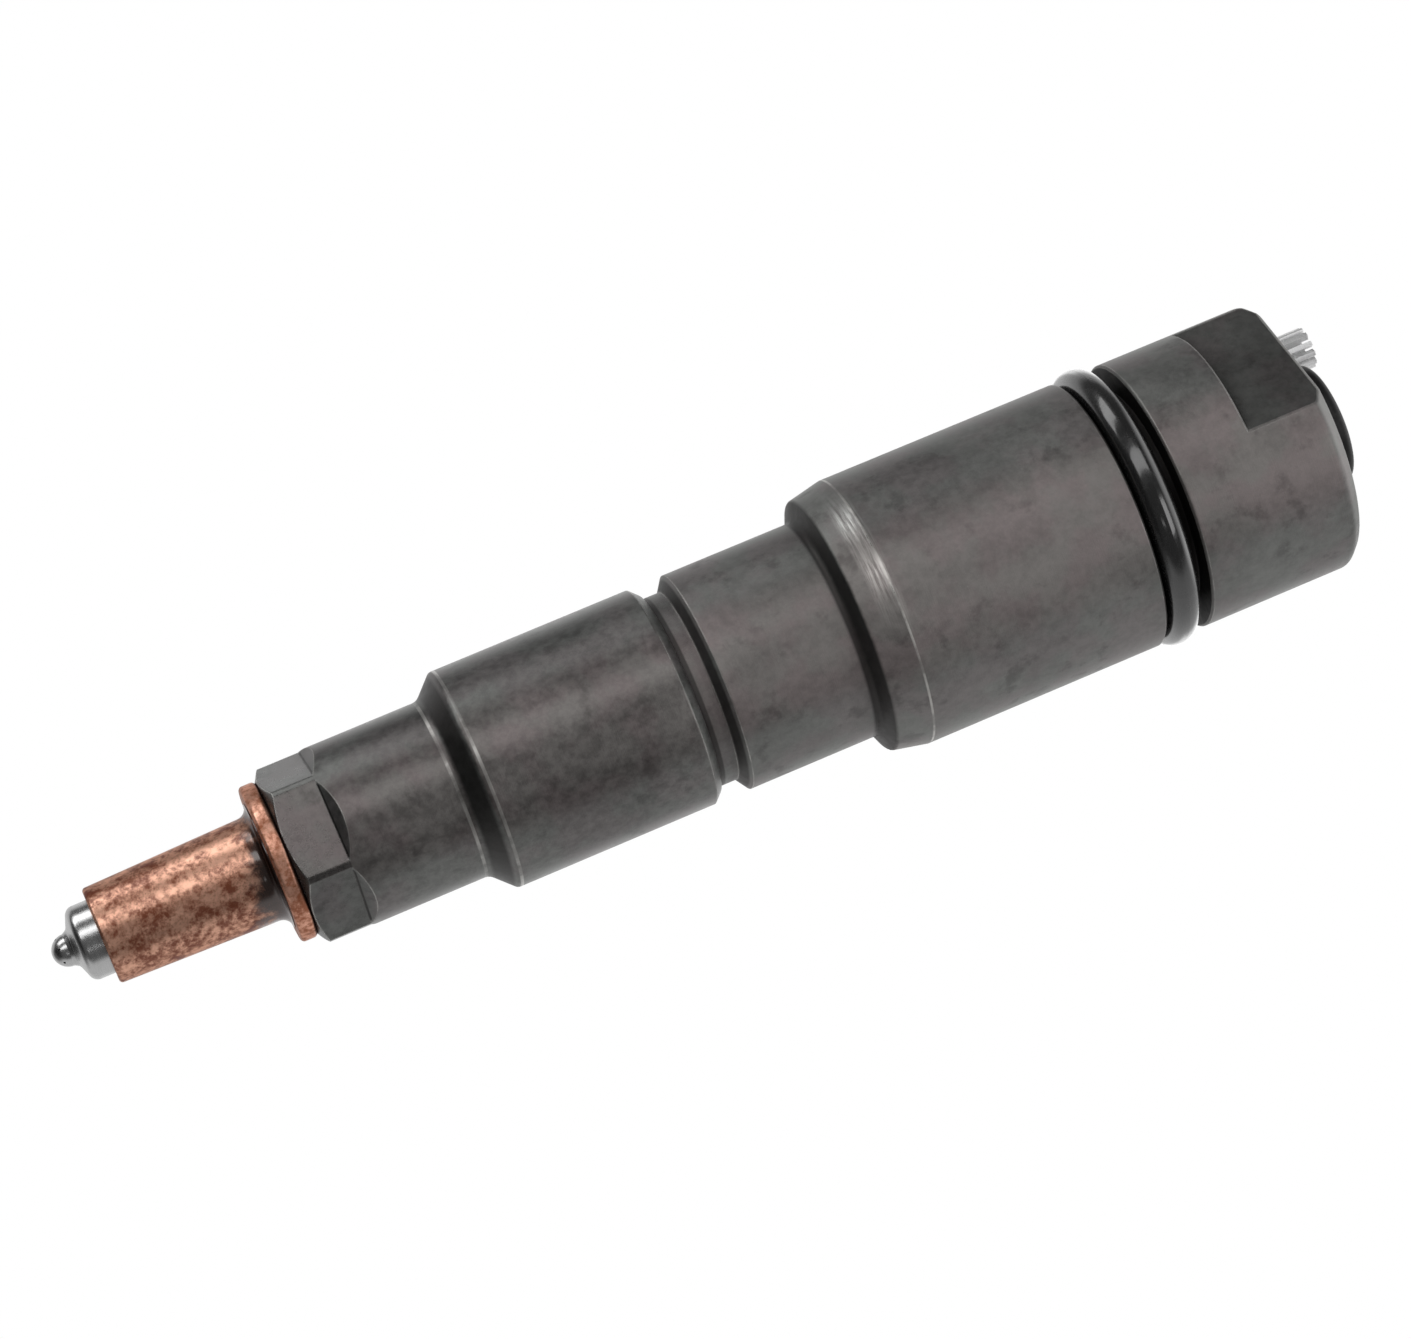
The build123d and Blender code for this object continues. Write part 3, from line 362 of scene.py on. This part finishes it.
def phosphate(name, shift, level, roughness, contrast, shaded_zones=(), highlight_rims=(), rubbed_and_lit=None,
              shaded_flats=None, hexed=None):
    """Dark grey phosphated steel: mottled, with painted shade in corners, and edges lightened in
    broken patches by wear and painted highlight.

    The zone lists give ring-shaped zones of painted shade and of painted highlight rims; the pairs
    of heights give streaky wear with a painted highlight on its lit side, flat clamp faces darkened
    as painted shade, and the smoother hex faces.
    """
    material, graph, shader = new_material(name)
    place = graph.place(shift=shift)
    patches = graph.noise(place, 95, detail=5, roughness=0.6, distortion=0.4)
    blotches = graph.noise(place, 300, detail=5, roughness=0.62)
    mottle = graph.noise(place, 1100, detail=5, roughness=0.7)
    grain = graph.noise(place, 5200, detail=3, roughness=0.7)
    turning = graph.noise(graph.place(TURNING_STRETCH, shift), 1.0, detail=3)

    colour = phosphate_colour(graph, shift, level, contrast, patches, blotches, mottle, grain)
    gloss = graph.plus(graph.ramp(patches, 0.3, 0.7, roughness - 0.04, roughness + 0.04),
                       graph.ramp(mottle, 0.3, 0.7, -0.04, 0.05))

    if rubbed_and_lit:
        # Painted highlight: lightened streaks on the lead-in, only on its lit upper side; partly
        # wear
        lit_wear = rubbed_sheen_share(graph, shift, rubbed_and_lit)
        colour = graph.mix(lit_wear, colour, shade(COOL_TINT, level * 1.8))
        gloss = graph.minus(gloss, graph.times(lit_wear, 0.18))
    # Painted shade: the clamp flats are darkened
    if shaded_flats:
        colour = graph.scale(colour, graph.ramp(shaded_flat_share(graph, shaded_flats), 0, 1, 1, FLAT_PAINTED_SHADE))
    if hexed:
        faces = graph.band(graph.height(), hexed[0], hexed[1], soft=0.00005)
        colour = graph.scale(colour, graph.ramp(faces, 0, 1, 1, HEX_DARKENING))
        gloss = graph.minus(gloss, graph.times(faces, HEX_SMOOTHING))
    colour = facing_tint(graph, colour)

    # Edges and the listed rims are lightened: partly wear, partly painted highlight lines
    wear_and_highlight = graph.edges(WEAR_RADIUS)
    for zone in highlight_rims:
        wear_and_highlight = graph.larger(wear_and_highlight, graph.zone(**zone))
    wear_and_highlight = graph.times(wear_and_highlight, graph.ramp(blotches, 0.40, 0.60, 0.2, 0.85))
    colour = graph.mix(wear_and_highlight, colour, WORN_AND_HIGHLIGHT_METAL)
    gloss = graph.minus(gloss, graph.times(wear_and_highlight, 0.12))

    # Painted shade: ambient occlusion and the listed zones darken corners, grooves and faces turned
    # from the light
    painted_shade = graph.times(graph.crevices(PAINTED_SHADE_REACH), graph.ramp(blotches, 0.35, 0.60, 0.8, 1.0))
    for zone in shaded_zones:
        painted_shade = graph.larger(painted_shade, graph.zone(**zone))
    colour = graph.mix(painted_shade, colour, PAINTED_SHADE_COLOUR)

    graph.feed(shader.inputs["Base Color"], colour)
    graph.feed(shader.inputs["Metallic"], 0.9)
    graph.feed(shader.inputs["Roughness"], gloss)
    relief = graph.plus(graph.times(grain, 0.6), graph.times(turning, 0.5))
    bump(graph, shader, relief, 0.00002, 0.6, rounding=EDGE_ROUNDING)
    return material


# ---------------------------------------------------------------- copper

SLEEVE_LIGHT = (0.88, 0.48, 0.33, 1)
SLEEVE_DARK = (0.23, 0.060, 0.024, 1)
WASHER_LIGHT = (0.90, 0.48, 0.34, 1)
WASHER_DARK = (0.36, 0.115, 0.05, 1)
COPPER_WORN = (0.90, 0.50, 0.34, 1)
COPPER_BURNT_AND_SHADED = (0.04, 0.017, 0.011, 1)
# Near-black colour of painted shade in the copper's hollows
COPPER_PAINTED_SHADE = (0.03, 0.012, 0.008, 1)
GRAZING_COPPER = (0.45, 0.30, 0.24, 1)     # dull oxide takes the shine off the copper's rims
BURN_AND_SHADE_START = -0.0034                       # heights between which the burn and painted shade turn black
BURN_AND_SHADE_END = -0.0012


def burn_and_shade_share(graph, blotches):
    """1 at the hot end near the washer: partly burned copper, partly painted shade of the dark
    washer it faces; the ragged border reaches lower on the unlit side.
    """
    ragged = graph.plus(graph.height(), graph.ramp(blotches, 0.3, 0.7, -0.0008, 0.0008))
    ragged = graph.plus(ragged, graph.ramp(graph.sideways(), -0.001, 0.003, 0.0, -0.0014))
    return graph.ramp(ragged, BURN_AND_SHADE_START, BURN_AND_SHADE_END)


def copper(name, shift, light, dark, burnt_and_shaded=False):
    """Annealed copper with dark oxide blotches; optionally the end near the washer is blackened,
    partly burned and partly painted shade.
    """
    material, graph, shader = new_material(name)
    place = graph.place(shift=shift)
    blotches = graph.noise(place, 420, detail=6, roughness=0.68, distortion=0.3)
    mottle = graph.noise(place, 1500, detail=4, roughness=0.7)
    grain = graph.noise(place, 7000, detail=2)
    oxide = graph.ramp(graph.plus(graph.times(blotches, 0.5), graph.times(mottle, 0.5)), 0.40, 0.60)

    colour = graph.mix(oxide, light, dark)
    colour = graph.mix(graph.times(graph.edges(WEAR_RADIUS), 0.5), colour, COPPER_WORN)
    coat_roughness = 0.30
    coat_weight = 0.35
    if burnt_and_shaded:
        black = burn_and_shade_share(graph, blotches)
        # Partly burn, partly painted shade: the end by the washer goes black, reaching further on
        # the unlit side
        colour = graph.mix(black, colour, COPPER_BURNT_AND_SHADED)
        coat_roughness = graph.ramp(black, 0, 1, 0.30, 0.15)
        coat_weight = graph.ramp(black, 0, 1, 0.45, 1.0)
    # Painted shade: ambient occlusion darkens the copper's hollows, such as the flare by the washer
    colour = graph.mix(graph.times(graph.crevices(0.002), 0.8), colour, COPPER_PAINTED_SHADE)

    graph.feed(shader.inputs["Base Color"], colour)
    graph.feed(shader.inputs["Metallic"], 0.95)
    graph.feed(shader.inputs["Specular Tint"], GRAZING_COPPER)
    graph.feed(shader.inputs["Roughness"], graph.plus(graph.ramp(oxide, 0, 1, 0.34, 0.46),
                                                      graph.ramp(grain, 0.3, 0.7, -0.03, 0.05)))
    graph.feed(shader.inputs["Coat IOR"], 1.8)
    graph.feed(shader.inputs["Coat Roughness"], coat_roughness)
    graph.feed(shader.inputs["Coat Weight"], coat_weight)
    relief = graph.plus(graph.times(mottle, 0.7), graph.times(grain, 0.3))
    bump(graph, shader, relief, 0.00004, 0.5)
    return material


# ---------------------------------------------------------------- bare steel, oxide and rubber


def steel(name, shift, level, roughness, ring_scale, stain):
    """Bare steel with fine rings from grinding or turning and a light stain."""
    material, graph, shader = new_material(name)
    place = graph.place(shift=shift)
    cloud = graph.noise(place, 600, detail=5, roughness=0.6)
    grain = graph.noise(place, 6000, detail=2)
    rings = graph.noise(graph.place((25, 25, ring_scale), shift), 1.0, detail=4, roughness=0.7)

    colour = graph.mix(graph.ramp(rings, 0.3, 0.7), grey(level * 0.86), grey(level))
    colour = graph.mix(graph.ramp(cloud, 0.50, 0.75, 0.0, stain), colour, grey(level * 0.4, 0.08))
    wear_and_highlight = graph.times(graph.edges(0.00012), 0.7)
    colour = graph.mix(wear_and_highlight, colour, grey(min(1.0, level * 1.4)))
    gloss = graph.plus(graph.ramp(rings, 0.2, 0.8, roughness - 0.05, roughness + 0.05),
                       graph.ramp(grain, 0.3, 0.7, -0.02, 0.03))

    graph.feed(shader.inputs["Base Color"], colour)
    graph.feed(shader.inputs["Metallic"], 1.0)
    graph.feed(shader.inputs["Roughness"], gloss)
    relief = graph.plus(graph.times(rings, 0.7), graph.times(grain, 0.3))
    bump(graph, shader, relief, 0.00001, 0.5)
    return material


def rubber(name):
    """Black moulded rubber, slightly glossy, with a little dust."""
    material, graph, shader = new_material(name)
    place = graph.place()
    dust = graph.noise(place, 900, detail=5, roughness=0.7)
    grain = graph.noise(place, 8000, detail=2)
    colour = graph.mix(graph.ramp(dust, 0.55, 0.8, 0.0, 0.2), grey(0.008), grey(0.04, 0.03))
    graph.feed(shader.inputs["Base Color"], colour)
    graph.feed(shader.inputs["Roughness"], graph.ramp(dust, 0.3, 0.7, 0.07, 0.15))
    graph.feed(shader.inputs["Specular IOR Level"], 0.6)
    graph.feed(shader.inputs["Coat Weight"], 1.0)
    graph.feed(shader.inputs["Coat IOR"], 1.55)
    graph.feed(shader.inputs["Coat Roughness"], graph.ramp(dust, 0.3, 0.7, 0.20, 0.29))
    bump(graph, shader, graph.plus(dust, graph.times(grain, 0.3)), 0.000008, 0.3)
    return material


def black_oxide(name):
    """Near-black oxidised steel with worn edges."""
    material, graph, shader = new_material(name)
    place = graph.place()
    cloud = graph.noise(place, 500, detail=5, roughness=0.65)
    grain = graph.noise(place, 6000, detail=2)
    colour = graph.mix(graph.ramp(cloud, 0.4, 0.7), grey(0.012), grey(0.035, 0.03))
    colour = graph.mix(graph.times(graph.edges(0.00015), 0.35), colour, grey(0.25))
    graph.feed(shader.inputs["Base Color"], colour)
    graph.feed(shader.inputs["Metallic"], 0.6)
    graph.feed(shader.inputs["Roughness"], graph.ramp(cloud, 0.3, 0.7, 0.42, 0.55))
    bump(graph, shader, graph.plus(cloud, graph.times(grain, 0.5)), 0.00002, 0.4)
    return material


# ---------------------------------------------------------------- finishes on the nodes

# The triple after a name shifts that finish's noises, so that like finishes don't match.
slot_materials = {
    "body_phosphate": phosphate(
        "body_phosphate", (0.013, 0.021, 0.034), level=0.215, roughness=0.52, contrast=0.13,
        shaded_zones=(RING_GROOVE, SHOULDER_FACE, NECK_FRONT, NECK_REAR),
        highlight_rims=(LEAD_IN_RIM,), rubbed_and_lit=LEAD_IN_BAND, shaded_flats=CLAMP_FLATS),
    "nut_phosphate": phosphate(
        "nut_phosphate", (0.055, 0.042, 0.017), level=0.16, roughness=0.41, contrast=0.20,
        shaded_zones=(NUT_CONE, HEX_END), highlight_rims=(CONE_ROOT_RIM, CONE_EDGE_RIM), hexed=NUT_HEX),
    "black_oxide": black_oxide("black_oxide"),
    "ground_steel": steel("ground_steel", (0.01, 0.02, 0.03), level=0.62, roughness=0.24,
                          ring_scale=16000, stain=0.15),
    "lapped_steel": steel("lapped_steel", (0.03, 0.01, 0.02), level=0.72, roughness=0.14,
                          ring_scale=24000, stain=0.05),
    "spring_steel": steel("spring_steel", (0.02, 0.02, 0.01), level=0.34, roughness=0.32,
                          ring_scale=9000, stain=0.3),
    "bright_steel": steel("bright_steel", (0.04, 0.03, 0.02), level=0.88, roughness=0.5,
                          ring_scale=7000, stain=0.05),
    "washer_copper": copper("washer_copper", (0.031, 0.012, 0.006), WASHER_LIGHT, WASHER_DARK),
    "sleeve_copper": copper("sleeve_copper", (0.006, 0.018, 0.027), SLEEVE_LIGHT, SLEEVE_DARK,
                            burnt_and_shaded=True),
    "black_rubber": rubber("black_rubber"),
}

for subpart in frame["record"]["subparts"]:
    node = frame["nodes"][subpart["node"]]
    finish = slot_materials[subpart["material_slot"]]
    if not node.material_slots:
        node.data.materials.append(finish)
    for material_slot in node.material_slots:
        material_slot.material = finish

# ---------------------------------------------------------------- floor

FLOOR_RADIUS = 0.30
FLOOR_DROP = 0.040             # below the nozzle tip, so it stays out of the main view
FLOOR_SIDES = 96


def floor_paint(name):
    """Pale matt floor with faint unevenness; clear from below, so it never hides the part."""
    material, graph, shader = new_material(name)
    cloud = graph.noise(graph.place(), 12, detail=4)
    graph.feed(shader.inputs["Base Color"], graph.mix(cloud, grey(0.86), grey(0.90)))
    graph.feed(shader.inputs["Roughness"], 0.9)
    one_sided = graph.add("ShaderNodeMixShader")
    graph.feed(one_sided.inputs[0], graph.add("ShaderNodeNewGeometry").outputs["Backfacing"])
    graph.feed(one_sided.inputs[1], shader.outputs[0])
    graph.feed(one_sided.inputs[2], graph.add("ShaderNodeBsdfTransparent").outputs[0])
    output = next(node for node in graph.nodes if node.type == "OUTPUT_MATERIAL")
    graph.feed(output.inputs["Surface"], one_sided.outputs[0])
    return material


floor_z = cad_low.z - FLOOR_DROP
floor_rim = []
for step in range(FLOOR_SIDES):
    turn = 2 * math.pi * step / FLOOR_SIDES
    floor_rim.append((FLOOR_RADIUS * math.cos(turn), FLOOR_RADIUS * math.sin(turn), floor_z))
floor_mesh = bpy.data.meshes.new("floor")
floor_mesh.from_pydata(floor_rim, [], [list(range(FLOOR_SIDES))])
floor = bpy.data.objects.new("floor", floor_mesh)
bpy.context.scene.collection.objects.link(floor)
floor.data.materials.append(floor_paint("floor_paint"))
floor.visible_glossy = False    # cones that face the floor mirror the dim room instead
floor.visible_shadow = False    # the lower ends of the soft boxes shine through it

# ---------------------------------------------------------------- light

# Soft boxes stand round the axis, at an angle in degrees from the camera towards SIDE.
# Width, height and centre height are in metres; the last value is the radiance.
SOFT_BOX_DISTANCE = 0.7
SOFT_BOXES = (
    ("key", 80, 0.32, 0.70, -0.25, 2.3),
    ("second", 30, 0.24, 1.10, -0.05, 2.0),
    ("third", -20, 0.38, 0.44, 0.46, 2.4),
    ("low", -23, 0.05, 0.18, -0.13, 1.5),
)

# The room's own light, by direction
WHITE = (1, 1, 1, 1)
BRIGHT_SIDE = -150             # degrees from the camera; half the room round it is bright
DIM = 0.10
BRIGHT = 0.64
BEHIND = 0.76
OVERHEAD = 1.3


def around_axis(angle):
    """Direction across the axis, at an angle from the camera towards SIDE."""
    turn = math.radians(angle)
    return TOWARDS * math.cos(turn) + SIDE * math.sin(turn)


def oriented(place, x_axis, y_axis, z_axis):
    """World matrix from a place and three axes."""
    turn = Matrix((x_axis, y_axis, z_axis)).transposed()
    return Matrix.Translation(place) @ turn.to_4x4()


def soft_box(name, angle, width, height, centre_z, radiance):
    light = bpy.data.lights.new(name, "AREA")
    light.shape = "RECTANGLE"
    light.size = width
    light.size_y = height
    light.energy = radiance * math.pi * width * height
    direction = around_axis(angle)
    place = direction * SOFT_BOX_DISTANCE + AXIS * centre_z
    lamp = bpy.data.objects.new(name, light)
    lamp.matrix_world = oriented(place, AXIS.cross(direction), AXIS, direction)
    bpy.context.scene.collection.objects.link(lamp)


def white_room():
    """White to the camera; as light, bright on one side, behind and overhead, dim elsewhere."""
    world = bpy.data.worlds.new("white_room")
    bpy.context.scene.world = world
    world.use_nodes = True
    graph = Graph(world.node_tree)
    direction = graph.add("ShaderNodeTexCoord").outputs["Generated"]
    climb = graph.dot(direction, AXIS)
    side = graph.ramp(graph.dot(direction, around_axis(BRIGHT_SIDE)), -0.05, 0.25, DIM, BRIGHT)
    behind = graph.times(graph.ramp(graph.dot(direction, -TOWARDS), 0.70, 0.84, 0.0, BEHIND),
                         graph.ramp(climb, -0.02, 0.10, 0.1, 1.0))
    overhead = graph.ramp(climb, 0.70, 0.96, 0.0, OVERHEAD)
    below = graph.ramp(climb, -0.92, -0.72, 0.2, 1.0)
    level = graph.times(graph.plus(side, behind), below)

    lit = graph.add("ShaderNodeBackground")
    graph.feed(lit.inputs["Strength"], graph.plus(level, overhead))
    plain = graph.add("ShaderNodeBackground")
    for background in (lit, plain):
        graph.feed(background.inputs["Color"], WHITE)
    both = graph.add("ShaderNodeMixShader")
    graph.feed(both.inputs[0], graph.add("ShaderNodeLightPath").outputs["Is Camera Ray"])
    graph.feed(both.inputs[1], lit.outputs[0])
    graph.feed(both.inputs[2], plain.outputs[0])
    output = graph.add("ShaderNodeOutputWorld")
    graph.feed(output.inputs["Surface"], both.outputs[0])


for box in SOFT_BOXES:
    soft_box(*box)
white_room()

# ---------------------------------------------------------------- camera

tilt = math.radians(CAMERA_TILT)
roll = math.radians(CAMERA_ROLL)
aim = AXIS * AIM_HEIGHT + SIDE * AIM_SIDE
back = TOWARDS * math.cos(tilt) - AXIS * math.sin(tilt)
along = AXIS * math.cos(tilt) + TOWARDS * math.sin(tilt)
right = along * math.cos(roll) - SIDE * math.sin(roll)
up = along * math.sin(roll) + SIDE * math.cos(roll)

camera = bpy.data.objects.new("camera", bpy.data.cameras.new("camera"))
camera.data.lens = CAMERA_LENS
camera.data.sensor_width = CAMERA_SENSOR
camera.data.clip_start = CAMERA_NEAR
camera.matrix_world = oriented(aim + back * CAMERA_DISTANCE, right, up, back)
bpy.context.scene.collection.objects.link(camera)
bpy.context.scene.camera = camera

bpy.context.scene.view_settings.view_transform = "Standard"
